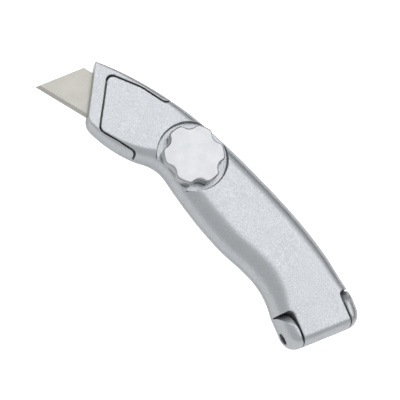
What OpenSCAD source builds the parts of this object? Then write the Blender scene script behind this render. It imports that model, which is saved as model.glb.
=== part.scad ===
// Fixed-blade trimming knife: two die-cast half shells hinged at the tail and clamped by a
// lobed knob, with a trapezoid blade in the nose and spare blades in the handle.
// Origin: on the flat back face, straight below the knob's axis. +X runs along the cutting
// edge to the blade's tip, +Y towards the cutting-edge side, +Z out through the knob.

/* [Handle] */
// Thickness of the closed handle at the grip
handle_thick = 18; // [17.5:0.5:19]
// Metal under and over the storage pocket
floor_thick = 2.5; // [2:0.1:2.8]
// Metal beside the storage pocket, spine side
spine_wall = 5; // [4.5:0.1:5.5]
// Metal beside the storage pocket, cutting-edge side
belly_wall = 4.6; // [4.2:0.1:5]
// Gap round the front shell's head, where the back shell's frame surrounds it
seam_gap = 0.6; // [0.4:0.1:0.8]
// Gap between the two shells on the parting plane
parting_gap = 0.1; // [0.05:0.05:0.2]

/* [Hinge] */
// Width of the tail across both hinge ears
tail_width = 35; // [34:0.5:36]
// Width of the front shell's knuckle between the ears
knuckle_width = 21.8; // [20:0.2:23]
// Gap between the knuckle and each ear
ear_gap = 0.5; // [0.4:0.1:0.7]
// Diameter of the rolled hinge pin
pin_d = 5; // [4:0.2:5.4]
// How far the pin's ends sit below the ears' outer faces
pin_sink = 1.4; // [0.6:0.2:2]

/* [Blade] */
// Length of the cutting edge
blade_length = 61; // [60:0.5:62]
// Width from the cutting edge to the back edge
blade_width = 18.9; // [18.7:0.1:19.1]
// Thickness of the blade strip
blade_thick = 0.6; // [0.5:0.05:0.65]
// Run of each slanted end along the blade
blade_slant = 12.6; // [12:0.2:13.4]
// Width of the ground bevel
bevel_width = 1.7; // [1:0.1:2.2]

/* [Knob] */
// Diameter over the knob's lobes
knob_d = 26.4; // [24:0.2:27]
// Number of finger lobes
knob_lobes = 6; // [5:1:7]
// Depth of the scallops between the lobes
scallop_depth = 2; // [1:0.1:2.6]
// Radius of each scallop
scallop_r = 4.6; // [4:0.1:5.2]
// Height of the knob above its washer
knob_height = 5.2; // [4:0.1:5.5]
// Diameter of the recess round the knob
recess_d = 30.4; // [29:0.2:31]
// Depth of the recess below the front face
recess_depth = 3; // [2.5:0.1:3.2]
// Nominal diameter of the clamp screw's thread
thread_d = 6; // [6:0.1:6.4]
// Thread pitch, which is the knob's lift for one turn
thread_pitch = 1; // [0.8:0.05:1]

/* [Smoothness] */
// Loft rings between two stations of the handle
rings_per_span = 4; // [2:1:5]
// Points on each quarter of a rounded side
side_steps = 6; // [4:1:8]

/* [Hidden] */

paint = "silver";
steel = "lightgray";
dark_steel = "dimgray";

mid = handle_thick / 2;            // height of the parting plane and of the blade
beyond = 60;                       // cutters reach this far past the part
fit = 0.06;                        // radial clearance of a running fit
seat = 0.02;                       // radial clearance of a pressed or moulded fit

// Hinge axis: its middle, and the direction in which the tail points.
hinge_at = [-81, 32.6];
tail_turn = 141.7;
ear_radius = mid;                  // ears and knuckle are round about the pin
sweep_gap = 0.35;                  // room round a surface that turns past another
ear_inner = knuckle_width / 2 + ear_gap;
ear_edge = 1.5;                    // rounding of each ear's inner edge
corner_edge = 2.3;                 // rounding of the front shell's corner in front of each ear
tail_thick = 0.94;                 // thickness at the hinge as a share of the grip's
tail_reach = 6.2;                  // from the pin's axis to the very end
pin_wall = 1;                      // the pin is rolled from strip this thick
pin_slot = 0.7;                    // gap left along the rolled pin

// Blade in the nose.
blade_tip = [70.9, 6.9];
blade_at = [blade_tip.x - blade_length / 2, blade_tip.y - blade_width / 2];
notch_place = 7.5;                 // notch centres, either side of the blade's middle
notch_d = 3;
notch_depth = 2.4;
peg_at = [blade_at.x - notch_place, blade_tip.y - blade_width + notch_depth - notch_d / 2];
peg_d = 2.6;
peg_below = 3;                     // the peg starts this far below the blade's middle
peg_above = 1.4;
channel_gap = 0.3;                 // play round the blade in its channel
channel_high = blade_thick + 0.1;
channel_low = mid - channel_high / 2;

// Knob stack, from the recess's floor outwards, and the screw below it.
recess_floor = handle_thick - recess_depth;
washer_thick = 0.5;
washer_d = 13;
knob_base = recess_floor + washer_thick + 0.1;
shank_d = thread_d + 0.4;
root_d = thread_d - 1;             // the thread is drawn plain, at its root
release_turns = 4;                 // turns that free the screw from its insert
release_lift = thread_pitch * release_turns;
boss_thick = 3;
boss_under = recess_floor - boss_thick;
clip_thick = 0.6;
clip_d = 10.5;
clip_at = boss_under - 0.2 - release_lift - clip_thick;
clip_room_d = 14;
groove_play = 0.05;                // play of the ring in its groove, up and down
collar = 0.6;                      // full-width part of the screw below the groove
insert_d = 9;
insert_top = clip_at - collar - 0.1;
screw_tip = insert_top - 3.5;
insert_base = screw_tip - 0.5;

// Spare-blade store.
store_at = [-39.7, 11.2];
store_turn = -18.5;
tray_base = 1.2;
tray_wall = 1;
tray_rim = 0.6;                    // the tray's wall stands this far above the stack
spare_gap = 0.3;
tray_floor = floor_thick + tray_base;
spare_count = 3;
stack_top = tray_floor + spare_count * blade_thick;
spring_thick = 0.4;
post_at = [26.5, -5.5];
post_d = 5.6;
post_top = stack_top + 1.1;
tray_screw_d = 2.5;
tray_head_d = 5;
tray_head_high = 1.4;
tray_screw_deep = 1.4;             // length of a tray screw below the pocket's floor
driver_slot = 0.7;
spring_width = 5.6;

dowels = [[3, -12.5], [0.5, 9.6]];
dowel_d = 3;
dowel_up = 2.6;
dowel_down = 3.5;
dowel_play = 0.25;
dowel_lead = 0.5;                  // chamfer on each dowel's free end

magnet_at = [26, -1];
magnet_d = 6;
magnet_high = 2;

plate_at = [31, -2];
plate_size = [18, 10];
plate_thick = 1.2;
plate_low = mid + channel_high / 2;
plate_screw_gap = 11;
plate_screw_d = 2.5;
plate_screw_long = 3.6;
plate_head = 1.8;                  // countersunk head's width as a share of the screw's

// ---------- Handle shape ----------

// One row per station from nose to tail: spine point, belly point, thickness as a share of
// the grip's, and how far the rounding reaches in from the spine and from the belly.
STATIONS = [
    [ 55.5, -16.2,  45.4,  8.0, 0.49, 1.2, 1.0],
    [ 51.0, -17.3,  43.2, 10.4, 0.52, 2.0, 1.6],
    [ 44.0, -18.3,  38.5, 11.8, 0.58, 2.6, 2.2],
    [ 36.0, -18.9,  33.0, 12.6, 0.65, 3.2, 3.0],
    [ 28.0, -19.0,  27.0, 12.8, 0.73, 3.8, 3.8],
    [ 20.0, -18.7,  20.0, 12.2, 0.82, 4.6, 4.8],
    [ 11.0, -18.0,  13.0, 10.6, 0.92, 5.8, 6.2],
    [  2.0, -16.6,   7.1, 11.2, 1.00, 7.0, 7.8],
    [ -7.0, -14.9,   0.1, 14.5, 1.00, 8.0, 8.8],
    [-16.0, -12.9,  -7.8, 18.2, 1.00, 8.4, 9.0],
    [-28.0,  -9.7, -18.8, 22.7, 1.00, 8.5, 9.0],
    [-40.0,  -6.2, -30.8, 26.6, 1.00, 8.5, 9.0],
    [-52.0,  -2.2, -41.8, 28.9, 1.00, 8.5, 9.0],
    [-62.0,   1.8, -50.3, 31.6, 0.98, 8.2, 9.0],
    [-71.0,   6.0, -57.2, 35.7, 0.96, 7.6, 8.2],
    [-79.0,  10.6, -62.8, 40.8, 0.95, 6.8, 7.0],
    hinge_station(-6, tail_width / 2, tail_thick),
    hinge_station(-1, tail_width / 2, tail_thick)
];

function unit(v) = v / norm(v);
function left_of(v) = [-v.y, v.x];
function turned(v, a) = [v.x * cos(a) - v.y * sin(a), v.x * sin(a) + v.y * cos(a)];

// A station in the hinge's own frame: so far towards the tail, and so wide each side.
function hinge_station(along, half_width, share) =
    let (
        spine = hinge_at + turned([along, half_width], tail_turn),
        belly = hinge_at + turned([along, -half_width], tail_turn)
    )
    [spine.x, spine.y, belly.x, belly.y, share, 6 * share, 5.5 * share];

// Powers of the superellipses that round the handle's two sides.
spine_power = 2.2;
belly_power = 2.15;

// The rounded tail end: its width closes in first, then its thickness, on the knuckle's end.
tail_blend = tail_reach + 1;
tail_flat = 11;                    // half the width that is left at the very end
tail_round = 4;                    // length over which the thickness closes in
function tail_share(along) =
    let (run = max(0, (along - tail_reach + tail_round) / tail_round))
    pow(1 - pow(run, spine_power), 1 / spine_power);
tail_end = [
    for (turn = [11 : 11 : 88])
        let (along = -1 + tail_blend * sin(turn))
        hinge_station(
            along,
            tail_flat + (tail_width / 2 - tail_flat) * pow(cos(turn), 0.9),
            tail_thick * tail_share(along)
        )
];

// Catmull-Rom curve through whole station rows.
function between(a, b, c, d, t) =
    0.5 * (2 * b + (c - a) * t + (2 * a - 5 * b + 4 * c - d) * t * t
        + (3 * b - a - 3 * c + d) * t * t * t);
function smooth(rows) = [
    for (i = [0 : len(rows) - 2], k = [0 : rings_per_span - 1])
        between(
            rows[max(i - 1, 0)], rows[i], rows[i + 1], rows[min(i + 2, len(rows) - 1)],
            k / rings_per_span
        ),
    rows[len(rows) - 1]
];
LOFT = concat(smooth(STATIONS), tail_end);

// Points on a rounded side, as [distance in from the edge, height]: a superellipse.
function side(turn, reach, high, power) = [
    reach * (1 - pow(abs(cos(turn)), 2 / power)),
    high * sign(sin(turn)) * pow(abs(sin(turn)), 2 / power)
];
side_step = 90 / side_steps;
function ring(row) =
    let (
        spine = [row[0], row[1]],
        belly = [row[2], row[3]],
        across = unit(belly - spine),
        high = min(row[4], 1) * mid,
        outline = concat(
            [for (t = [0 : side_step : 90]) [1, side(t, row[5], high, spine_power)]],
            [for (t = [90 : -side_step : 0]) [-1, side(t, row[6], high, belly_power)]],
            [for (t = [-side_step : -side_step : -90]) [-1, side(t, row[6], high, belly_power)]],
            [for (t = [-90 : side_step : -side_step]) [1, side(t, row[5], high, spine_power)]]
        )
    )
    [for (p = outline)
        let (base = p[0] > 0 ? spine : belly, flat = base + across * p[0] * p[1].x)
        [flat.x, flat.y, mid + p[1].y]];

module handle_body() {
    rings = [for (row = LOFT) ring(row)];
    size = len(rings[0]);
    last = len(rings) - 1;
    sides = [
        for (k = [0 : last - 1], j = [0 : size - 1])
            let (a = k * size + j, b = k * size + (j + 1) % size)
            each [[a, a + size, b], [b, a + size, b + size]]
    ];
    nose = [for (j = [0 : size - 1]) j];
    tail = [for (j = [size - 1 : -1 : 0]) last * size + j];
    polyhedron([for (r = rings) each r], concat(sides, [nose, tail]));
}

// ---------- Flat outlines ----------

// Moves each corner of a polygon outwards; corners run anticlockwise.
function grown(corners, by) = [
    for (i = [0 : len(corners) - 1])
        let (
            n = len(corners),
            a = unit(corners[i] - corners[(i + n - 1) % n]),
            b = unit(corners[(i + 1) % n] - corners[i]),
            mitre = -left_of(a) - left_of(b)
        )
        corners[i] + mitre * 2 * by / (mitre * mitre)
];

// Replaces each corner by an arc of its radius.
function rounded(corners, radii, steps = 6) = [
    for (i = [0 : len(corners) - 1])
        let (
            n = len(corners),
            here = corners[i],
            a = unit(corners[(i + n - 1) % n] - here),
            b = unit(corners[(i + 1) % n] - here),
            half = acos(a * b) / 2,
            centre = here + unit(a + b) * radii[i] / sin(half),
            from = here + a * radii[i] / tan(half) - centre,
            swing = (180 - 2 * half) * sign(a.y * b.x - a.x * b.y)
        )
        each radii[i] == 0
            ? [here]
            : [for (k = [0 : steps]) centre + turned(from, swing * k / steps)]
];

// Everything that the front shell covers, seen along Z: its head panel and all behind it.
panel = [
    [-beyond * 3, -beyond], [15.5, -24], [20.8, -14.4], [33, -15.4], [47.9, -13.4],
    [38.5, 9.9], [20.4, 10.4], [19.6, 24], [-beyond * 3, beyond * 2]
];
panel_radii = [0, 0, 3, 20, 2.6, 3, 2, 0, 0];

blade_corners = [
    [-blade_length / 2 + blade_slant, -blade_width / 2],
    [blade_length / 2 - blade_slant, -blade_width / 2],
    [blade_length / 2, blade_width / 2],
    [-blade_length / 2, blade_width / 2]
];

// ---------- Shared solids ----------

module at_hinge()
    translate([hinge_at.x, hinge_at.y, mid]) rotate([0, 0, tail_turn]) children();
module at_store(high)
    translate([store_at.x, store_at.y, high]) rotate([0, 0, store_turn]) children();
module along_pin(radius, length)
    rotate([90, 0, 0]) cylinder(r = radius, h = length, center = true, $fn = 72);
module both_sides() for (s = [0, 1]) mirror([0, s, 0]) children();
module at_posts() for (s = [-1, 1]) translate([s * post_at.x, post_at.y, 0]) children();
module at_plate_screws()
    for (s = [-1, 1]) translate([plate_at.x + s * plate_screw_gap / 2, plate_at.y, 0]) children();

// Slab above the parting plane, or below it, as a plan outline swept up or down.
module above(corners)
    translate([0, 0, mid + parting_gap / 2]) linear_extrude(beyond) polygon(corners);
module below_parting() translate([-beyond * 3, -beyond, -beyond])
    cube([beyond * 6, beyond * 3, beyond + mid - parting_gap / 2]);

// Round about the pin and straight to the tail: what turns in, or stays clear of, the ears.
module knuckle_zone(half_width, radius) at_hinge() {
    along_pin(radius, 2 * half_width);
    translate([0, -half_width, -beyond]) cube([beyond, 2 * half_width, 2 * beyond]);
}

// Hinge ears: round about the pin, with a rounded inner edge that the front shell's corner
// swings past.
module ears() at_hinge() both_sides() rotate([-90, 0, 0]) translate([0, 0, ear_inner])
    rotate_extrude($fn = 96) polygon(concat(
        [[0, beyond], [0, 0]],
        [for (a = [-90 : 15 : 0]) [ear_radius - ear_edge, ear_edge] + ear_edge * [cos(a), sin(a)]],
        [[ear_radius, beyond]]
    ));

// Plan corners cut out of the front shell for the ears.
module ear_room() at_hinge() both_sides() linear_extrude(2 * beyond, center = true) {
    front = ear_radius + sweep_gap;
    inner = knuckle_width / 2;
    polygon(rounded(
        [[-front, inner], [beyond, inner], [beyond, beyond], [-front, beyond]],
        [corner_edge, 0, 0, 0]
    ));
}

// Storage pocket between two heights, following the handle's curves from one station on.
module store_pocket(low, high, station) {
    last = (len(STATIONS) - 1) * rings_per_span;
    rows = [for (i = [ceil(station * rings_per_span) : last]) LOFT[i]];
    spine = [for (r = rows) let (s = [r[0], r[1]], b = [r[2], r[3]]) s + unit(b - s) * spine_wall];
    belly = [for (r = rows) let (s = [r[0], r[1]], b = [r[2], r[3]]) b - unit(b - s) * belly_wall];
    tail_wall = ear_radius + sweep_gap + 2;
    intersection() {
        translate([0, 0, low]) linear_extrude(high - low)
            polygon(concat(spine, [for (i = [len(belly) - 1 : -1 : 0]) belly[i]]));
        at_hinge() translate([-4 * beyond - tail_wall, -2 * beyond, -beyond])
            cube([4 * beyond, 4 * beyond, 2 * beyond]);
    }
}

module blade_channel() translate([blade_at.x, blade_at.y, channel_low])
    linear_extrude(channel_high) polygon(grown(blade_corners, channel_gap));

// The peg, from its foot up, grown by its clearance and lengthened at both ends.
module peg(play, longer) translate([peg_at.x, peg_at.y, mid - peg_below - longer])
    cylinder(d = peg_d + 2 * play, h = peg_below + peg_above + 2 * longer, $fn = 48);

// A trapezoid blade with its middle at the origin, lying from z = 0 up.
module blade_strip() {
    middle = blade_thick / 2;
    edge_land = 0.03;
    half = blade_width / 2;
    difference() {
        intersection() {
            linear_extrude(blade_thick) polygon(blade_corners);
            rotate([90, 0, 90]) linear_extrude(blade_length + 2, center = true)
                polygon([
                    [-half - 1, 0], [half - bevel_width, 0], [half, middle - edge_land],
                    [half, middle + edge_land], [half - bevel_width, blade_thick], [-half - 1, blade_thick]
                ]);
        }
        for (s = [-1, 1]) translate([s * notch_place, -half, -1]) {
            translate([0, notch_depth - notch_d / 2, 0]) cylinder(d = notch_d, h = 3, $fn = 40);
            translate([-notch_d / 2, -1, 0]) cube([notch_d, 1 + notch_depth - notch_d / 2, 3]);
        }
    }
}

// ---------- Shells ----------

module back_shell() color(paint) difference() {
    intersection() {
        handle_body();
        union() {
            difference() {
                below_parting();
                knuckle_zone(ear_inner, ear_radius + sweep_gap);
            }
            ears();
            difference() {
                above([[0, -beyond], [2 * beyond, -beyond], [2 * beyond, beyond], [0, beyond]]);
                above(rounded(grown(panel, seam_gap), panel_radii));
            }
            // The frame's foot, which joins it to the half below.
            difference() {
                translate([0, -beyond, mid - 1]) cube([2 * beyond, 2 * beyond, 2]);
                translate([0, 0, -1]) above(rounded(grown(panel, seam_gap), panel_radii));
            }
        }
    }
    at_hinge() along_pin(pin_d / 2 + seat, 2 * beyond);
    store_pocket(floor_thick, mid + 1, 8.5);
    blade_channel();
    translate([0, 0, insert_top]) cylinder(d = clip_room_d, h = beyond, $fn = 72);
    translate([0, 0, insert_base]) cylinder(d = insert_d + 2 * seat, h = beyond, $fn = 72);
    translate([magnet_at.x, magnet_at.y, channel_low - magnet_high])
        cylinder(d = magnet_d + 2 * seat, h = magnet_high + 1, $fn = 48);
    peg(seat, 0.1);
    for (p = dowels) translate([p.x, p.y, mid - dowel_down - 0.1])
        cylinder(d = dowel_d + 2 * seat, h = beyond, $fn = 40);
    at_store(floor_thick - tray_screw_deep - 0.1) at_posts()
        cylinder(d = tray_screw_d + 2 * seat, h = 3, $fn = 32);
}

module front_shell() color(paint) difference() {
    intersection() {
        handle_body();
        union() {
            difference() {
                above(rounded(panel, panel_radii));
                ear_room();
            }
            knuckle_zone(knuckle_width / 2, ear_radius);
        }
    }
    at_hinge() along_pin(pin_d / 2 + fit, 2 * beyond);
    store_pocket(mid - 1, handle_thick - floor_thick, 9.5);
    blade_channel();
    translate([0, 0, recess_floor]) cylinder(d = recess_d, h = beyond, $fn = 96);
    translate([0, 0, mid - 1]) cylinder(d = clip_room_d, h = boss_under - mid + 1, $fn = 72);
    cylinder(d = shank_d + 2 * fit, h = beyond, $fn = 72);
    peg(dowel_play, 1);
    for (p = dowels) translate([p.x, p.y, mid - 1])
        cylinder(d = dowel_d + 2 * dowel_play, h = dowel_up + 1.4, $fn = 40);
    plate_block(seat);
    translate([0, 0, plate_low - 1]) at_plate_screws()
        cylinder(d = plate_screw_d + 2 * seat, h = plate_screw_long + 1.3, $fn = 32);
}

// ---------- Hinge ----------

module hinge_pin() color(dark_steel) at_hinge() difference() {
    along_pin(pin_d / 2, tail_width - 2 * pin_sink);
    along_pin(pin_d / 2 - pin_wall, tail_width);
    translate([0, -beyond, -pin_slot / 2]) cube([beyond, 2 * beyond, pin_slot]);
}

module hinge_shims() color(steel) at_hinge() both_sides() {
    shim = ear_gap - 0.1;
    translate([0, knuckle_width / 2 + ear_gap / 2, 0]) difference() {
        along_pin(pin_d / 2 + 2, shim);
        along_pin(pin_d / 2 + seat, 1);
    }
}

// ---------- Blade and what holds it ----------

module blade() color("lightgray")
    translate([blade_at.x, blade_at.y, mid - blade_thick / 2]) blade_strip();

module blade_peg() color(steel) peg(0, 0);

module blade_magnet() color("gray")
    translate([magnet_at.x, magnet_at.y, channel_low - magnet_high])
        cylinder(d = magnet_d, h = magnet_high, $fn = 48);

// The clamp plate's block, grown by its clearance.
module plate_block(play) translate([plate_at.x, plate_at.y, plate_low + plate_thick / 2]) cube([
    plate_size.x + 2 * play, plate_size.y + 2 * play, plate_thick + 2 * play
], center = true);

// Countersunk screws through the plate, grown by their clearance.
module clamp_screw_shape(play) translate([0, 0, plate_low]) at_plate_screws() {
    width = plate_screw_d + 2 * play;
    cylinder(d1 = plate_screw_d * plate_head + 2 * play, d2 = width, h = 1, $fn = 32);
    cylinder(d = width, h = plate_screw_long, $fn = 32);
}

module clamp_plate() color(steel) difference() {
    plate_block(0);
    clamp_screw_shape(seat);
}

module clamp_screws() color(dark_steel) difference() {
    clamp_screw_shape(0);
    translate([0, 0, plate_low]) at_plate_screws() cube([3, driver_slot, 0.8], center = true);
}

// ---------- Knob and clamp screw ----------

scallop_phase = 8;                 // direction of the first scallop
knob_crown = 0.5;                  // how far the knob's face bulges
knob_rim = 1.2;                    // radius of the knob's upper edge
knob_bore_deep = 3;                // how far the screw goes up into the knob
module knob() color("gainsboro") translate([0, 0, knob_base]) difference() {
    rotate_extrude($fn = 96) polygon(concat(
        [[0, 0], [knob_d / 2 - 0.4, 0], [knob_d / 2, 0.4]],
        [for (a = [0 : 18 : 90])
            [knob_d / 2 - knob_rim, knob_height - knob_crown - knob_rim] + knob_rim * [cos(a), sin(a)]],
        [for (x = [0.75, 0.5, 0.25, 0])
            [x * (knob_d / 2 - knob_rim), knob_height - knob_crown * x * x]]
    ));
    for (i = [1 : knob_lobes]) rotate([0, 0, scallop_phase + i * 360 / knob_lobes])
        translate([knob_d / 2 - scallop_depth + scallop_r, 0, -1])
            cylinder(r = scallop_r, h = beyond, $fn = 60);
    translate([0, 0, -1]) cylinder(d = shank_d + 2 * seat, h = knob_bore_deep + 1, $fn = 72);
}

module knob_screw() color(steel) difference() {
    union() {
        translate([0, 0, clip_at - collar])
            cylinder(d = shank_d, h = knob_base + knob_bore_deep - clip_at + collar, $fn = 72);
        translate([0, 0, screw_tip]) cylinder(d = root_d, h = clip_at - screw_tip, $fn = 72);
    }
    translate([0, 0, clip_at - groove_play]) difference() {
        cylinder(d = shank_d + 2, h = clip_thick + 2 * groove_play, $fn = 72);
        translate([0, 0, -1]) cylinder(d = root_d, h = clip_thick + 3, $fn = 72);
    }
}

module knob_washer() color(steel) translate([0, 0, recess_floor]) difference() {
    cylinder(d = washer_d, h = washer_thick, $fn = 72);
    translate([0, 0, -1]) cylinder(d = shank_d + 0.6, h = 3, $fn = 72);
}

// Open ring that snaps into the screw's groove, relieved at two places so that it can spread.
module retaining_ring() color(dark_steel) translate([0, 0, clip_at]) difference() {
    mouth = root_d * 0.84;
    cylinder(d = clip_d, h = clip_thick, $fn = 72);
    translate([0, 0, -1]) cylinder(d = root_d + 2 * fit, h = 3, $fn = 72);
    translate([0, -mouth / 2, -1]) cube([clip_d, mouth, 3]);
    for (a = [125, 235]) rotate([0, 0, a])
        translate([root_d / 2 + 0.3, 0, -1]) cylinder(d = 2, h = 3, $fn = 32);
}

module threaded_insert() color("goldenrod") translate([0, 0, insert_base]) difference() {
    cylinder(d = insert_d, h = insert_top - insert_base, $fn = 72);
    translate([0, 0, -1]) cylinder(d = thread_d, h = beyond, $fn = 72);
}

module dowel_pins() color(steel) for (p = dowels) translate([p.x, p.y, mid - dowel_down]) {
    straight = dowel_down + dowel_up - dowel_lead;
    cylinder(d = dowel_d, h = straight, $fn = 40);
    translate([0, 0, straight])
        cylinder(d1 = dowel_d, d2 = dowel_d - 2 * dowel_lead, h = dowel_lead, $fn = 40);
}

// ---------- Spare-blade store ----------

// A post beside the stack, with a flat lug that joins it to the tray's base.
module tray_post(side, top) {
    translate([side * post_at.x, post_at.y, 0]) cylinder(d = post_d, h = top - floor_thick, $fn = 48);
    translate([side * (post_at.x - 3) - 3, post_at.y - post_d / 2, 0]) cube([6, post_d, tray_base]);
}

module blade_tray() color("darkslategray") at_store(floor_thick) difference() {
    union() {
        intersection() {
            linear_extrude(stack_top - floor_thick + tray_rim)
                polygon(grown(blade_corners, spare_gap + tray_wall));
            cube([blade_length + 2 * (spare_gap + tray_wall), beyond, beyond], center = true);
        }
        tray_post(1, post_top);
        tray_post(-1, post_top + spring_thick);
    }
    translate([0, 0, tray_base]) linear_extrude(beyond) polygon(grown(blade_corners, spare_gap));
    translate([0, 0, -1]) at_posts() cylinder(d = tray_screw_d + 2 * seat, h = beyond, $fn = 32);
}

module spare_blade(place) color("lightgray") at_store(tray_floor + place * blade_thick) blade_strip();
module spare_blade_1() spare_blade(0);
module spare_blade_2() spare_blade(1);
module spare_blade_3() spare_blade(2);

// Leaf spring: flat under its screw, down onto the stack, and up again at its free end.
module tray_spring() color(steel) at_store(0) {
    path = [
        [post_at.x + 2.6, post_top], [post_at.x - 3, post_top],
        [9, stack_top], [6, stack_top], [-12, stack_top + 0.7]
    ];
    back = [for (i = [len(path) - 1 : -1 : 0]) path[i] + [0, spring_thick]];
    difference() {
        translate([0, post_at.y + spring_width / 2, 0]) rotate([90, 0, 0])
            linear_extrude(spring_width) polygon(concat(path, back));
        translate([post_at.x, post_at.y, 0]) cylinder(d = tray_screw_d + 2 * seat, h = beyond, $fn = 32);
    }
}

module tray_screws() color(dark_steel) at_store(floor_thick - tray_screw_deep) at_posts() {
    head_at = post_top + spring_thick - floor_thick + tray_screw_deep;
    cylinder(d = tray_screw_d, h = head_at, $fn = 32);
    translate([0, 0, head_at]) difference() {
        cylinder(d = tray_head_d, h = tray_head_high, $fn = 40);
        translate([0, 0, tray_head_high]) cube([tray_head_d + 1, driver_slot, 1.2], center = true);
    }
}

back_shell();
front_shell();
hinge_pin();
hinge_shims();
blade();
blade_peg();
blade_magnet();
clamp_plate();
clamp_screws();
knob();
knob_screw();
knob_washer();
retaining_ring();
threaded_insert();
dowel_pins();
blade_tray();
spare_blade_1();
spare_blade_2();
spare_blade_3();
tray_spring();
tray_screws();
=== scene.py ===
import math

import bpy
import numpy as np
from mathutils import Matrix, Vector


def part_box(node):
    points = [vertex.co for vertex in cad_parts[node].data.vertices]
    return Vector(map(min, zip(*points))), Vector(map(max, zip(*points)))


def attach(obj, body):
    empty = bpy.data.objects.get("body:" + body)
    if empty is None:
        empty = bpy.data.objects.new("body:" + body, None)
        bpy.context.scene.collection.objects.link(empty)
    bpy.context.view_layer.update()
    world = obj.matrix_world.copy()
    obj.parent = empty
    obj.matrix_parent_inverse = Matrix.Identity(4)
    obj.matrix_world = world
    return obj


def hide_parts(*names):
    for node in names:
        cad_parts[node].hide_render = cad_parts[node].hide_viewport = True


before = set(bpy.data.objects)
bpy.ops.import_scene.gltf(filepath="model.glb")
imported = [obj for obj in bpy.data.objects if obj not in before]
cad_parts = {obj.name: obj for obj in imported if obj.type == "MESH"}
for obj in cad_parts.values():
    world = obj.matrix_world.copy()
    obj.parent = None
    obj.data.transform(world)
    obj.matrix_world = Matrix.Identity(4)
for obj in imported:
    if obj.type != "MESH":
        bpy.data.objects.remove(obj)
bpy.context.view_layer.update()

MM = 0.001

# ---------- Driving dimensions, in millimetres ----------

# Handle: thickness, walls, seams and clearances. Cutters reach `beyond` past the knife.
handle_thick = 18.0
mid = handle_thick / 2
floor_thick = 2.5
spine_wall = 5.0
belly_wall = 4.6
seam_gap = 0.6
parting_gap = 0.1
fit = 0.06
seat = 0.02
beyond = 60.0

# Tail and hinge: widths lie along the pin, reach and flat across it.
hinge_at = np.array([-81.0, 32.6])
tail_turn = math.radians(141.7)
tail_width = 35.0
knuckle_width = 21.8
ear_radius = mid
sweep_gap = 0.35
ear_inner = knuckle_width / 2 + 0.5
ear_edge = 1.5
corner_edge = 2.3
tail_start = -1
tail_reach = 6.2
tail_thick = 0.94
tail_flat = 11.0
tail_round = 4.0
tail_spine_round = 6.0
tail_belly_round = 5.5
tail_wall = ear_radius + sweep_gap + 2
pin_d = 5.0

# Blade, its channel and its peg.
blade_length = 61.0
blade_width = 18.9
blade_thick = 0.6
blade_slant = 12.6
blade_tip = np.array([70.9, 6.9])
channel_gap = 0.3
channel_high = blade_thick + 0.1
notch_place = 7.5
peg_hole_y = 0.9
peg_d = 2.6
peg_hole_front = mid + 3.5
peg_hole_back = mid + 1.4

# Knob.
knob_d = 26.4
knob_lobes = 6
scallop_depth = 2.0
scallop_r = 4.6
scallop_phase = math.radians(8)
knob_crown = 0.5
knob_rim = 0.9
knob_bore_deep = 3.0

# Recess under the knob, clamp screw, its ring and its insert.
recess_d = 30.4
recess_floor = handle_thick - 3.0
shank_d = 6.4
root_d = 5.0
thread_top_d = 5.9
thread_pitch = 1.0
clip_thick = 0.6
clip_room_d = 14.0
groove_play = 0.05
axis_r = 0.05
boss_under = recess_floor - 3.0
clip_at = boss_under - 0.2 - 4 * thread_pitch - clip_thick
collar_low = clip_at - 0.6
insert_d = 9.0
insert_top = clip_at - 0.7
screw_tip = insert_top - 3.5
insert_base = screw_tip - 0.5

# Spare-blade store. The pockets start at these stations of the handle.
store_at = np.array([-39.7, 11.2])
store_turn = math.radians(-18.5)
post_at = np.array([26.5, -5.5])
small_screw_d = 2.5
tray_hole_low = 1.0
tray_hole_top = 4.0
front_store_start = 9.5
back_store_start = 8.5
pocket_ring_step = 3

# Dowels, magnet and clamp plate.
dowels = [(3.0, -12.5), (0.5, 9.6)]
dowel_d = 3.0
dowel_play = 0.25
dowel_hole_top = mid + 3
blind_depth = 3.6
magnet_at = (26.0, -1.0)
magnet_d = 6.0
magnet_high = 2.0
plate_at = np.array([31.0, -2.0])
plate_size = np.array([18.0, 10.0])
plate_thick = 1.2
plate_low = mid + channel_high / 2
plate_screw_gap = 11.0
plate_hole_deep = 3.9


# ---------- Handle shape ----------

def turned(point, angle):
    """A plan point turned about the origin."""
    c, s = math.cos(angle), math.sin(angle)
    return np.array([point[0] * c - point[1] * s, point[0] * s + point[1] * c])


def hinge_station(along, half_width, share):
    """A station of the handle in the hinge's own frame."""
    spine = hinge_at + turned((along, half_width), tail_turn)
    belly = hinge_at + turned((along, -half_width), tail_turn)
    return [*spine, *belly, share, tail_spine_round * share, tail_belly_round * share]


rings_per_span = 10
side_steps = 16
spine_power = 2.2
belly_power = 2.15

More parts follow.
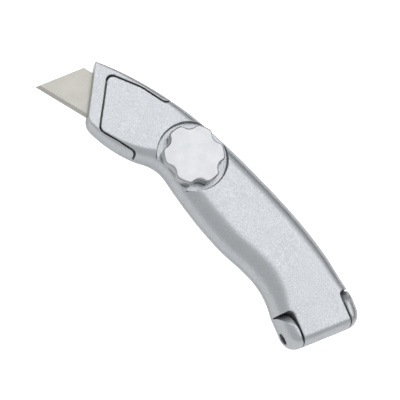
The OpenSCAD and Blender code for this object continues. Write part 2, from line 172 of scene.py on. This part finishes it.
# From nose to tail: spine point, belly point, thickness as a share of the grip's, and how far
# the rounding reaches in from the spine and from the belly.
STATIONS = [
    [55.5, -16.2, 45.4, 8.0, 0.49, 1.2, 1.0],
    [51.0, -17.3, 43.2, 10.4, 0.52, 2.0, 1.6],
    [44.0, -18.3, 38.5, 11.8, 0.58, 2.6, 2.2],
    [36.0, -18.9, 33.0, 12.6, 0.65, 3.2, 3.0],
    [28.0, -19.0, 27.0, 12.8, 0.73, 3.8, 3.8],
    [20.0, -18.7, 20.0, 12.2, 0.82, 4.6, 4.8],
    [11.0, -18.0, 13.0, 10.6, 0.92, 5.8, 6.2],
    [2.0, -16.6, 7.1, 11.2, 1.0, 7.0, 7.8],
    [-7.0, -14.9, 0.1, 14.5, 1.0, 8.0, 8.8],
    [-16.0, -12.9, -7.8, 18.2, 1.0, 8.4, 9.0],
    [-28.0, -9.7, -18.8, 22.7, 1.0, 8.5, 9.0],
    [-40.0, -6.2, -30.8, 26.6, 1.0, 8.5, 9.0],
    [-52.0, -2.2, -41.8, 28.9, 1.0, 8.5, 9.0],
    [-62.0, 1.8, -50.3, 31.6, 0.98, 8.2, 9.0],
    [-71.0, 6.0, -57.2, 35.7, 0.96, 7.6, 8.2],
    [-79.0, 10.6, -62.8, 40.8, 0.95, 6.8, 7.0],
    hinge_station(-6, tail_width / 2, tail_thick),
    hinge_station(tail_start, tail_width / 2, tail_thick),
]


def through(rows, per_span):
    """Catmull-Rom curve through whole rows."""
    rows = np.array(rows, float)
    padded = np.vstack([rows[0], rows, rows[-1]])
    found = []
    for i in range(len(rows) - 1):
        a, b, c, d = padded[i:i + 4]
        for t in np.arange(per_span) / per_span:
            found.append(0.5 * (
                2 * b + (c - a) * t + (2 * a - 5 * b + 4 * c - d) * t ** 2
                + (3 * b - a - 3 * c + d) * t ** 3
            ))
    return found + [rows[-1]]


def tail_end():
    """The rounded end: its width closes in first, then its thickness, on the knuckle's end."""
    step, width_power = 2.75, 0.9
    rows = []
    for turn in np.radians(np.arange(step, 89, step)):
        along = tail_start + (tail_reach - tail_start) * math.sin(turn)
        width = tail_flat + (tail_width / 2 - tail_flat) * math.cos(turn) ** width_power
        run = max(0.0, (along - tail_reach + tail_round) / tail_round)
        share = tail_thick * (1 - run ** spine_power) ** (1 / spine_power)
        rows.append(hinge_station(along, width, share))
    return rows


def side(turn, reach, high, power):
    """A point on a rounded side, as distance in from the edge and height: a superellipse."""
    c, s = math.cos(turn), math.sin(turn)
    return (
        reach * (1 - abs(c) ** (2 / power)),
        high * math.copysign(abs(s) ** (2 / power), s),
    )


def ring(row):
    """The closed section of the handle at one station."""
    spine, belly = np.array(row[0:2]), np.array(row[2:4])
    across = (belly - spine) / np.linalg.norm(belly - spine)
    high = min(row[4], 1) * mid
    quarter = np.linspace(0, math.pi / 2, side_steps + 1)
    points = []
    for turn, at_spine in (
        [(t, True) for t in quarter]
        + [(t, False) for t in quarter[::-1]]
        + [(-t, False) for t in quarter[1:]]
        + [(-t, True) for t in quarter[:0:-1]]
    ):
        if at_spine:
            inward, height = side(turn, row[5], high, spine_power)
            flat = spine + across * inward
        else:
            inward, height = side(turn, row[6], high, belly_power)
            flat = belly - across * inward
        points.append((*flat, mid + height))
    return points


LOFT = through(STATIONS, rings_per_span) + tail_end()


# ---------- Mesh helpers ----------

def mesh_object(name, points, faces):
    """A new object from points in millimetres."""
    mesh = bpy.data.meshes.new(name)
    mesh.from_pydata([tuple(map(float, p)) for p in points], [], faces)
    mesh.validate()
    piece = bpy.data.objects.new(name, mesh)
    bpy.context.scene.collection.objects.link(piece)
    return piece


def stack(name, rings):
    """A closed surface from rings of points, lowest first, each anticlockwise seen from above."""
    size = len(rings[0])
    faces = []
    for k in range(len(rings) - 1):
        for j in range(size):
            a, b = k * size + j, k * size + (j + 1) % size
            faces.append((a, b, b + size, a + size))
    faces.append(tuple(range(size))[::-1])
    faces.append(tuple((len(rings) - 1) * size + j for j in range(size)))
    return mesh_object(name, [p for r in rings for p in r], faces)


def prism(outline, low, high):
    """A plan outline swept from one height to another."""
    return stack("cutter", [[(x, y, z) for x, y in outline] for z in (low, high)])


def circle(x, y, diameter, steps=96):
    """A plan circle."""
    angles = np.arange(steps) * 2 * math.pi / steps
    return [(x + diameter / 2 * math.cos(a), y + diameter / 2 * math.sin(a)) for a in angles]


def drill(x, y, diameter, low, high):
    """An upright cylinder."""
    return prism(circle(x, y, diameter), low, high)


def box(low, high):
    """A block between two corners."""
    return prism([(low[0], low[1]), (high[0], low[1]), (high[0], high[1]), (low[0], high[1])],
                 low[2], high[2])


def place(piece, at, turn, height=0.0):
    """Moves a mesh from a local plan frame into the knife's frame."""
    for vertex in piece.data.vertices:
        x, y = at + turned(vertex.co[:2], turn)
        vertex.co = (x, y, vertex.co.z + height)
    return piece


def at_hinge(piece):
    """A mesh drawn about the hinge's middle, put where the hinge is."""
    return place(piece, hinge_at, tail_turn, mid)


def along_pin(radius, length):
    """A cylinder along the hinge pin."""
    rings = [
        [(z, y, x) for x, z in circle(0, 0, 2 * radius, 160)]
        for y in (-length / 2, length / 2)
    ]
    return at_hinge(stack("cutter", rings))


def bake(piece):
    """Applies a piece's modifiers to its mesh."""
    bpy.context.view_layer.update()
    evaluated = piece.evaluated_get(bpy.context.evaluated_depsgraph_get())
    mesh = bpy.data.meshes.new_from_object(evaluated)
    old = piece.data
    piece.modifiers.clear()
    piece.data = mesh
    bpy.data.meshes.remove(old)
    mesh.name = piece.name
    return piece


def combine(piece, how, tools):
    """Joins tools to a piece, cuts them out of it, or keeps what they share."""
    for tool in tools:
        modifier = piece.modifiers.new("combine", "BOOLEAN")
        modifier.operation = how
        modifier.solver = "MANIFOLD"
        modifier.object = tool
    bake(piece)
    for tool in tools:
        bpy.data.objects.remove(tool)
    return piece


def cut(piece, *tools):
    """Takes tools away from a piece."""
    return combine(piece, "DIFFERENCE", tools)


def join(piece, *tools):
    """Adds tools to a piece."""
    return combine(piece, "UNION", tools)


def keep(piece, *tools):
    """Leaves only what a piece shares with its tools."""
    return combine(piece, "INTERSECT", tools)


def soften(piece, voxel, rounds, triangles):
    """Turns sharp edges into small cast or moulded radii, with an even mesh."""
    remesh = piece.modifiers.new("voxels", "REMESH")
    remesh.mode = "VOXEL"
    remesh.voxel_size = voxel
    smooth = piece.modifiers.new("smooth", "SMOOTH")
    smooth.factor = 0.5
    smooth.iterations = rounds
    bake(piece)
    reduce = piece.modifiers.new("reduce", "DECIMATE")
    reduce.ratio = min(1.0, triangles / (2 * len(piece.data.polygons)))
    return bake(piece)


def finish_piece(piece, name, body, slot, coat, *nodes):
    """Scales a piece to metres, names and paints it, and ties it to the frame."""
    piece.name = name
    points = np.zeros(len(piece.data.vertices) * 3)
    piece.data.vertices.foreach_get("co", points)
    piece.data.vertices.foreach_set("co", points * MM)
    piece.data.materials.clear()
    piece.data.materials.append(coat)
    piece.data.polygons.foreach_set("use_smooth", [True] * len(piece.data.polygons))
    piece.data.update()
    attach(piece, body)
    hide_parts(*nodes)
    return piece


# ---------- Plan outlines ----------

def grown(corners, by):
    """Moves each corner of an anticlockwise polygon outwards."""
    corners = np.array(corners, float)
    found = []
    for i, here in enumerate(corners):
        a = here - corners[i - 1]
        b = corners[(i + 1) % len(corners)] - here
        a, b = a / np.linalg.norm(a), b / np.linalg.norm(b)
        mitre = np.array([a[1] + b[1], -a[0] - b[0]])
        found.append(here + mitre * 2 * by / (mitre @ mitre))
    return found


def rounded(corners, radii, steps=16):
    """Replaces each corner by an arc of its radius."""
    corners = np.array(corners, float)
    found = []
    for i, (here, radius) in enumerate(zip(corners, radii)):
        if radius == 0:
            found.append(here)
            continue
        a, b = corners[i - 1] - here, corners[(i + 1) % len(corners)] - here
        a, b = a / np.linalg.norm(a), b / np.linalg.norm(b)
        half = math.acos(a @ b) / 2
        centre = here + (a + b) / np.linalg.norm(a + b) * radius / math.sin(half)
        start = here + a * radius / math.tan(half) - centre
        swing = (math.pi - 2 * half) * math.copysign(1, a[1] * b[0] - a[0] * b[1])
        found += [centre + turned(start, swing * k / steps) for k in range(steps + 1)]
    return found


PANEL = [
    (-3 * beyond, -beyond), (15.5, -24), (20.8, -14.4), (33, -15.4), (47.9, -13.4),
    (38.5, 9.9), (20.4, 10.4), (19.6, 24), (-3 * beyond, 2 * beyond),
]
PANEL_RADII = [0, 0, 3, 20, 2.6, 3, 2, 0, 0]
BLADE = [
    (-blade_length / 2 + blade_slant, -blade_width / 2),
    (blade_length / 2 - blade_slant, -blade_width / 2),
    (blade_length / 2, blade_width / 2),
    (-blade_length / 2, blade_width / 2),
]
blade_at = blade_tip - np.array([blade_length, blade_width]) / 2


# ---------- Shells ----------

def handle_body():
    """The whole handle as one loft."""
    return stack("handle", [ring(row) for row in LOFT])


def pocket(low, high, station):
    """Storage pocket between two heights, along the handle's curves from one station on."""
    last = (len(STATIONS) - 1) * rings_per_span
    rows = LOFT[int(station * rings_per_span):last + 1:pocket_ring_step]
    spine, belly = [], []
    for row in rows:
        s, b = np.array(row[0:2]), np.array(row[2:4])
        across = (b - s) / np.linalg.norm(b - s)
        spine.append(s + across * spine_wall)
        belly.append(b - across * belly_wall)
    room = prism(spine[::-1] + belly, low, high)
    before_tail = box((-4 * beyond, -2 * beyond, -beyond), (-tail_wall, 2 * beyond, beyond))
    return keep(room, at_hinge(before_tail))


def blade_channel():
    """The blade's outline and thickness with a little room all round."""
    outline = [blade_at + p for p in grown(BLADE, channel_gap)]
    return prism(outline, mid - channel_high / 2, mid + channel_high / 2)


def ear_room(side_sign):
    """Plan corner cut out of the front shell for one ear."""
    inner, front = knuckle_width / 2, ear_radius + sweep_gap
    corners = [(-front, inner), (beyond, inner), (beyond, beyond), (-front, beyond)]
    outline = [(x, side_sign * y) for x, y in rounded(corners, [corner_edge, 0, 0, 0])]
    return at_hinge(prism(outline[::side_sign], -beyond, beyond))


def ear(side_sign):
    """One hinge ear, round about the pin with a rounded inner edge, before it is trimmed."""
    rows = [
        (ear_radius - ear_edge * (1 - math.cos(a)), ear_inner + ear_edge * (1 + math.sin(a)))
        for a in np.radians(np.arange(-90, 1, 7.5))
    ]
    rows.append((ear_radius, beyond))
    rings = [[(z, side_sign * y, x) for x, z in circle(0, 0, 2 * r, 160)] for r, y in rows]
    return at_hinge(stack("cutter", rings[::side_sign]))


def knuckle(half_width, radius):
    """Round about the pin and straight to the tail."""
    return join(along_pin(radius, 2 * half_width),
                at_hinge(box((0, -half_width, -beyond), (beyond, half_width, beyond))))


def peg_hole(diameter, low, high):
    """A hole between two heights where the peg stands in the blade's notch."""
    return drill(blade_at[0] - notch_place, blade_tip[1] - blade_width + peg_hole_y,
                 diameter, low, high)


def front_shell():
    """The knob-side half, with its head panel, recess, knuckle and half of the store."""
    shell = prism(rounded(PANEL, PANEL_RADII), mid + parting_gap / 2, beyond)
    cut(shell, ear_room(-1), ear_room(1))
    join(shell, knuckle(knuckle_width / 2, ear_radius))
    keep(shell, handle_body())
    plate = np.array([*plate_at, plate_low + plate_thick / 2])
    reach = np.array([*(plate_size / 2), plate_thick / 2])
    cut(
        shell,
        along_pin(pin_d / 2 + fit, 2 * beyond),
        pocket(mid - 1, handle_thick - floor_thick, front_store_start),
        blade_channel(),
        drill(0, 0, recess_d, recess_floor, beyond),
        drill(0, 0, clip_room_d, mid - 1, boss_under),
        drill(0, 0, shank_d + 2 * fit, 0, beyond),
        peg_hole(peg_d + 2 * dowel_play, mid - 1, peg_hole_front),
        box(plate - reach, plate + reach),
        *[drill(x, y, dowel_d + 2 * dowel_play, mid - 1, dowel_hole_top) for x, y in dowels],
        *[drill(plate_at[0] + s * plate_screw_gap / 2, plate_at[1],
                small_screw_d + 2 * seat, mid, plate_low + plate_hole_deep)
          for s in (-1, 1)],
    )
    return shell


def back_shell():
    """The half that carries the blade: lower half, head frame and hinge ears."""
    shell = box((-3 * beyond, -beyond, -beyond), (3 * beyond, 2 * beyond, mid - parting_gap / 2))
    cut(shell, knuckle(ear_inner, ear_radius + sweep_gap))
    window = rounded(grown(PANEL, seam_gap), PANEL_RADII)
    rim = box((0, -beyond, mid - 1), (2 * beyond, beyond, beyond))
    cut(rim, prism(window, mid - 1 + parting_gap / 2, 2 * beyond))
    join(shell, rim, ear(-1), ear(1))
    keep(shell, handle_body())
    screw_holes = [
        drill(*(store_at + turned((s * post_at[0], post_at[1]), store_turn)),
              small_screw_d + 2 * seat, tray_hole_low, tray_hole_top)
        for s in (-1, 1)
    ]
    magnet_low = mid - channel_high / 2 - magnet_high
    cut(
        shell,
        along_pin(pin_d / 2 + seat, 2 * beyond),
        pocket(floor_thick, mid + 1, back_store_start),
        blade_channel(),
        drill(0, 0, clip_room_d, insert_top, beyond),
        drill(0, 0, insert_d, insert_base, beyond),
        drill(*magnet_at, magnet_d + 2 * seat, magnet_low, mid),
        peg_hole(peg_d, mid - blind_depth, peg_hole_back),
        *[drill(x, y, dowel_d + 2 * seat, mid - blind_depth, beyond) for x, y in dowels],
        *screw_holes,
    )
    return shell


# ---------- Knob and screw ----------

def lobed_radius(count):
    """Distance of the knob's edge from its axis, all round, with softened corners."""
    centre = knob_d / 2 - scallop_depth + scallop_r
    pitch = 2 * math.pi / knob_lobes
    angles = np.arange(count) * 2 * math.pi / count
    away = np.abs((angles - scallop_phase + pitch / 2) % pitch - pitch / 2)
    inside = scallop_r ** 2 - (centre * np.sin(away)) ** 2
    scallop = centre * np.cos(away) - np.sqrt(np.maximum(inside, 0))
    radius = np.where(inside > 0, np.minimum(scallop, knob_d / 2), knob_d / 2)
    spread = 5
    weights = np.exp(-0.5 * (np.arange(-3 * spread, 3 * spread + 1) / spread) ** 2)
    weights /= weights.sum()
    padded = np.concatenate([radius[-3 * spread:], radius, radius[:3 * spread]])
    return angles, np.convolve(padded, weights, "valid")


def knob():
    """Cast knob with a rounded rim and a slightly bulging face."""
    base, top = (corner.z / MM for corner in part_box("knob"))
    count = 720
    angles, edge = lobed_radius(count)
    shoulder = top - knob_crown - knob_rim
    bore = np.full(count, shank_d / 2 + seat)
    bore_edge, middle_share = 0.2, 0.02
    rings = [
        (bore * middle_share, base + knob_bore_deep),
        (bore, base + knob_bore_deep),
        (bore, base + bore_edge),
        (bore + bore_edge, base),
        (edge * 0.6, base),
        (edge - 0.5, base),
        (edge - 0.15, base + 0.12),
        (edge, base + 0.45),
    ]
    rings += [(edge, z) for z in np.linspace(base + 1, shoulder, 5)]
    for a in np.radians(np.arange(10, 91, 10)):
        rings.append((edge - knob_rim * (1 - math.cos(a)), shoulder + knob_rim * math.sin(a)))
    inner = edge - knob_rim
    for share in (0.97, 0.9, 0.8, 0.68, 0.55, 0.42, 0.3, 0.18, 0.08, middle_share):
        round_edge = inner * share * share + inner.mean() * (1 - share * share)
        rings.append((round_edge * share, top - knob_crown * share * share))
    points = [
        [(r * math.cos(a), r * math.sin(a), z) for r, a in zip(radius, angles)]
        for radius, z in rings
    ]
    return stack("knob", points)


def screw_radius(z, angle):
    """Radius of the clamp screw's threaded length at a height and angle."""
    flank_slope, crest_width, run_in, run_out = 2.6, 1.4, 0.9, 0.5
    turn = (z / thread_pitch - angle / (2 * math.pi)) % 1
    crest = min(1, max(0.0, 1 - abs(turn - 0.5) * flank_slope) * crest_width)
    fade = min(1.0, (z - screw_tip) / run_in, (collar_low - z) / run_out)
    return root_d / 2 + (thread_top_d - root_d) / 2 * crest * max(0.0, fade)


def knob_screw():
    """Clamp screw: threaded tip, groove for the retaining ring, plain shank."""
    count = 96
    angles = np.arange(count) * 2 * math.pi / count
    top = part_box("knob_screw")[1].z / MM
    chamfer, thread_step, edge = 0.5, 0.06, 0.08
    root, shank = root_d / 2, shank_d / 2
    groove_low, groove_top = clip_at - groove_play, clip_at + clip_thick + groove_play
    rows = [(screw_tip, axis_r), (screw_tip, root - chamfer), (screw_tip + chamfer, None)]
    thread_start = screw_tip + chamfer + thread_step
    rows += [(z, None) for z in np.arange(thread_start, collar_low - 0.02, thread_step)]
    rows += [
        (collar_low, root), (collar_low + 0.01, shank - 0.1),
        (collar_low + 0.1, shank), (groove_low - 0.07, shank),
        (groove_low, shank - edge), (groove_low, root),
        (groove_top, root), (groove_top, shank - edge),
        (groove_top + 0.07, shank), (top - 0.2, shank),
        (top, shank - 0.2), (top, axis_r),
    ]
    rings = []
    for z, radius in rows:
        radii = [screw_radius(z, a) if radius is None else radius for a in angles]
        rings.append([(r * math.cos(a), r * math.sin(a), z) for r, a in zip(radii, angles)])
    return stack("knob_screw", rings)


# ---------- Materials ----------

class Coat:
    """A Principled material whose colour, roughness and relief come from procedural patterns."""

    def __init__(self, name, metallic, **constants):
        self.material = bpy.data.materials.new(name)
        self.material.use_nodes = True
        self.tree = self.material.node_tree
        self.shader = self.tree.nodes["Principled BSDF"]
        self.shader.inputs["Metallic"].default_value = metallic
        for socket, value in constants.items():
            self.shader.inputs[socket.replace("_", " ")].default_value = value
        self.place = self.tree.nodes.new("ShaderNodeTexCoord")

    def link(self, source, target):
        """Joins an output to an input."""
        self.tree.links.new(source, target)

    def noise(self, size, detail=3.0, stretch=(1, 1, 1)):
        """Noise with features of about this size in millimetres."""
        mapping = self.tree.nodes.new("ShaderNodeMapping")
        mapping.inputs["Scale"].default_value = [1 / (size * MM * s) for s in stretch]
        self.link(self.place.outputs["Object"], mapping.inputs["Vector"])
        texture = self.tree.nodes.new("ShaderNodeTexNoise")
        texture.inputs["Scale"].default_value = 1.0
        texture.inputs["Detail"].default_value = detail
        self.link(mapping.outputs["Vector"], texture.inputs["Vector"])
        return texture.outputs["Fac"]

    def spread(self, source, low, high, start=0.3, end=0.7):
        """The source's range from start to end, spread from low to high."""
        node = self.tree.nodes.new("ShaderNodeMapRange")
        for socket, value in zip(("From Min", "From Max", "To Min", "To Max"),
                                 (start, end, low, high)):
            node.inputs[socket].default_value = value
        self.link(source, node.inputs["Value"])
        return node.outputs["Result"]

    def mix(self, amount, first, second):
        """Mixes two colours, or outputs that give colours, by an amount."""
        node = self.tree.nodes.new("ShaderNodeMix")
        node.data_type = "RGBA"
        for socket, value in (("A", first), ("B", second)):
            target = next(s for s in node.inputs if s.name == socket and s.type == "RGBA")
            if isinstance(value, tuple):
                target.default_value = (*value, 1)
            else:
                self.link(value, target)
        factor = next(s for s in node.inputs if s.name == "Factor" and s.type == "VALUE")
        self.link(amount, factor)
        return next(s for s in node.outputs if s.type == "RGBA")

    def colour(self, source):
        """Sets what drives the base colour."""
        self.link(source, self.shader.inputs["Base Color"])

    def roughness(self, source):
        """Sets what drives the roughness."""
        self.link(source, self.shader.inputs["Roughness"])

    def relief(self, source, height):
        """Bump of this height in millimetres."""
        bump = self.tree.nodes.new("ShaderNodeBump")
        bump.inputs["Strength"].default_value = 1.0
        bump.inputs["Distance"].default_value = height * MM
        self.link(source, bump.inputs["Height"])
        self.link(bump.outputs["Normal"], self.shader.inputs["Normal"])


def silver_paint():
    """Silver paint with a fine hammered grain on cast zinc, a little cloudy."""
    coat = Coat("silver_paint", 0.85)
    cloud = coat.noise(9, 2)
    grain = coat.noise(0.55, 3)
    base = coat.mix(coat.spread(cloud, 0, 1), (0.53, 0.545, 0.565), (0.575, 0.59, 0.61))
    flecked = coat.mix(coat.spread(grain, 0, 0.75), base, (0.42, 0.435, 0.455))
    coat.colour(flecked)
    coat.roughness(coat.spread(grain, 0.26, 0.42))
    coat.relief(grain, 0.05)
    return coat.material


def knob_plating():
    """Satin chrome plate on the knob, with faint handling marks."""
    coat = Coat("knob_plating", 1.0)
    cloud = coat.noise(6, 2)
    haze = coat.noise(1.4, 4)
    coat.colour(coat.mix(coat.spread(cloud, 0, 1), (0.43, 0.44, 0.46), (0.49, 0.495, 0.505)))
    coat.roughness(coat.spread(haze, 0.08, 0.14))
    coat.relief(haze, 0.01)
    return coat.material


def blade_steel():
    """Stamped strip with fine rolling lines."""
    coat = Coat("blade_steel", 1.0)
    lines = coat.noise(0.16, 2, (40, 1, 1))
    patches = coat.noise(7, 2)
    base = coat.mix(coat.spread(patches, 0, 1), (0.375, 0.365, 0.335), (0.41, 0.40, 0.37))
    lined = coat.mix(coat.spread(lines, 0, 0.14), base, (0.32, 0.31, 0.29))
    coat.colour(lined)
    coat.roughness(coat.spread(lines, 0.24, 0.3))
    coat.relief(lines, 0.0015)
    return coat.material


def plain_metal(name, tone, rough, marks=0.5):
    """Turned or stamped metal with fine tool marks."""
    coat = Coat(name, 1.0)
    haze = coat.noise(marks, 3)
    dull = tuple(c * 0.75 for c in tone)
    worn = coat.mix(coat.spread(haze, 0, 0.6), tone, dull)
    coat.colour(worn)
    coat.roughness(coat.spread(haze, rough - 0.06, rough + 0.1))
    coat.relief(haze, 0.006)
    return coat.material


def tray_plastic():
    """Dark moulded plastic with a spark-eroded grain."""
    coat = Coat("tray_plastic", 0.0)
    grain = coat.noise(0.25, 2)
    coat.colour(coat.mix(coat.spread(grain, 0, 1), (0.03, 0.035, 0.04), (0.05, 0.055, 0.06)))
    coat.roughness(coat.spread(grain, 0.45, 0.62))
    coat.relief(grain, 0.012)
    return coat.material


# ---------- Building the knife ----------

def build_shells(paint):
    """Both shells, softened like castings and painted."""
    voxel = 0.22
    smooth_rounds, shell_triangles = 6, 120000
    for name, make, body in (
        ("front_shell_cast", front_shell, "front_body"),
        ("back_shell_cast", back_shell, "back_body"),
    ):
        shell = soften(make(), voxel, smooth_rounds, shell_triangles)
        finish_piece(shell, name, body, "body_paint", paint, name.replace("_cast", ""))


def dress_nodes(coats):
    """Gives the carried-over nodes their finish and, where a width is set, broken edges."""
    for name, coat, bevel in (
        ("blade", "blade", 0.0), ("spare_blade_1", "blade", 0.0), ("spare_blade_2", "blade", 0.0),
        ("spare_blade_3", "blade", 0.0), ("blade_peg", "steel", 0.15),
        ("blade_magnet", "nickel", 0.15), ("clamp_plate", "steel", 0.12),
        ("clamp_screws", "dark", 0.05), ("knob_washer", "steel", 0.08),
        ("retaining_ring", "dark", 0.08), ("threaded_insert", "brass", 0.15),
        ("dowel_pins", "steel", 0.05), ("blade_tray", "plastic", 0.15),
        ("tray_spring", "steel", 0.06), ("tray_screws", "dark", 0.1),
        ("hinge_pin", "dark", 0.12), ("hinge_shims", "steel", 0.06),
    ):
        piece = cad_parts[name]
        piece.data.materials.clear()
        piece.data.materials.append(coats[coat])
        if bevel:
            weld = piece.modifiers.new("weld", "WELD")
            weld.merge_threshold = 0.002 * MM
            edge = piece.modifiers.new("edges", "BEVEL")
            edge.width = bevel * MM
            edge.segments = 2
            edge.limit_method = "ANGLE"
            edge.angle_limit = math.radians(40)
            edge.use_clamp_overlap = True


def build_knife():
    """The four finer meshes and the finish of every carried-over node."""
    coats = {
        "paint": silver_paint(),
        "knob": knob_plating(),
        "blade": blade_steel(),
        "steel": plain_metal("plain_steel", (0.56, 0.56, 0.57), 0.3),
        "dark": plain_metal("black_steel", (0.07, 0.07, 0.075), 0.36),
        "nickel": plain_metal("magnet_nickel", (0.66, 0.64, 0.6), 0.18),
        "brass": plain_metal("insert_brass", (0.62, 0.45, 0.2), 0.26),
        "plastic": tray_plastic(),
    }
    build_shells(coats["paint"])
    finish_piece(knob(), "knob_cast", "knob_body", "knob_plate", coats["knob"], "knob")
    finish_piece(knob_screw(), "clamp_screw", "knob_body", "plain_steel", coats["steel"],
                 "knob_screw")
    dress_nodes(coats)


# ---------- Stage, light and camera ----------

def stage_card(name, points, faces, colour, rough, glow=0.0):
    """A sheet of the studio in metres, with its own colour, roughness and glow."""
    mesh = bpy.data.meshes.new(name)
    mesh.from_pydata(points, [], faces)
    card = bpy.data.objects.new(name, mesh)
    bpy.context.scene.collection.objects.link(card)
    surface = bpy.data.materials.new(name)
    surface.use_nodes = True
    shader = surface.node_tree.nodes["Principled BSDF"]
    shader.inputs["Base Color"].default_value = (colour, colour, colour, 1)
    shader.inputs["Roughness"].default_value = rough
    shader.inputs["Emission Color"].default_value = (1, 1, 1, 1)
    shader.inputs["Emission Strength"].default_value = glow
    mesh.materials.append(surface)
    return card


def add_floor():
    """White paper as the camera sees it, over the soft grey that the knife reflects."""
    half, rough = 1.6, 0.8
    square = [(-half, -half, 0), (half, -half, 0), (half, half, 0), (-half, half, 0)]
    paper = stage_card("paper", square, [(0, 1, 2, 3)], 0.8, rough, 1.0)
    paper.location.z = -0.00002
    for ray in ("diffuse", "glossy", "transmission", "shadow"):
        setattr(paper, "visible_" + ray, False)
    table = stage_card("table", square, [(0, 1, 2, 3)], 0.95, rough, 0.2)
    table.location.z = -0.00004
    table.visible_camera = False


def add_flag():
    """A low dark band beyond the spine side, out of the camera's sight, for the metal's darks."""
    radius, high, count = 0.62, 0.2, 25
    angles = np.linspace(math.pi, math.tau, count)
    foot = [(radius * math.cos(a), radius * math.sin(a)) for a in angles]
    points = [(x, y, z) for z in (0.0, high) for x, y in foot]
    faces = [(i, i + 1, i + 1 + count, i + count) for i in range(count - 1)]
    flag = stage_card("flag", points, faces, 0.02, 0.9)
    flag.visible_camera = False
    flag.visible_shadow = False


def add_softbox(name, direction, distance, size, radiance):
    """A rectangular light that faces the knife from a direction, with its size in metres."""
    light = bpy.data.lights.new(name, "AREA")
    light.shape = "RECTANGLE"
    light.size, light.size_y = size
    light.energy = radiance * math.pi * size[0] * size[1]
    lamp = bpy.data.objects.new(name, light)
    bpy.context.scene.collection.objects.link(lamp)
    toward = Vector(direction).normalized()
    lamp.location = toward * distance
    lamp.rotation_mode = "QUATERNION"
    lamp.rotation_quaternion = toward.to_track_quat("Z", "Y")
    return lamp


def add_light():
    """A pale even surround and one long softbox, tilted towards the spine side."""
    world = bpy.data.worlds.new("studio")
    world.use_nodes = True
    background = world.node_tree.nodes["Background"]
    background.inputs["Color"].default_value = (0.98, 0.99, 1.0, 1)
    background.inputs["Strength"].default_value = 0.67
    bpy.context.scene.world = world
    tilt = math.radians(24)
    add_softbox("softbox", (0, -math.sin(tilt), math.cos(tilt)), 0.9, (1.5, 0.6), 1.0)


def add_camera():
    """The camera's place: tilt from the vertical, bearing of that tilt, roll and distance."""
    tilt, bearing, roll = (math.radians(a) for a in (21, 9.084, 148.984))
    look_at = np.array([-12.2, 12.1, 9.0]) * MM
    distance = 0.55
    pixels_per_metre, picture_pixels = 2387.0, 400
    back = np.array([
        math.sin(tilt) * math.sin(bearing), math.sin(tilt) * math.cos(bearing), math.cos(tilt)
    ])
    level = np.array([1, 0, 0]) - back * back[0]
    level /= np.linalg.norm(level)
    other = np.cross(back, level)
    right = math.cos(roll) * level - math.sin(roll) * other
    up = math.sin(roll) * level + math.cos(roll) * other
    camera = bpy.data.cameras.new("camera")
    camera.sensor_width = 36
    camera.lens = pixels_per_metre * distance * camera.sensor_width / picture_pixels
    camera.clip_start, camera.clip_end = 0.01, 10
    viewer = bpy.data.objects.new("camera", camera)
    bpy.context.scene.collection.objects.link(viewer)
    viewer.matrix_world = Matrix([
        [right[i], up[i], back[i], look_at[i] + back[i] * distance] for i in range(3)
    ] + [[0, 0, 0, 1]])
    bpy.context.scene.camera = viewer


build_knife()
add_floor()
add_flag()
add_light()
add_camera()
bpy.context.scene.view_settings.view_transform = "Standard"
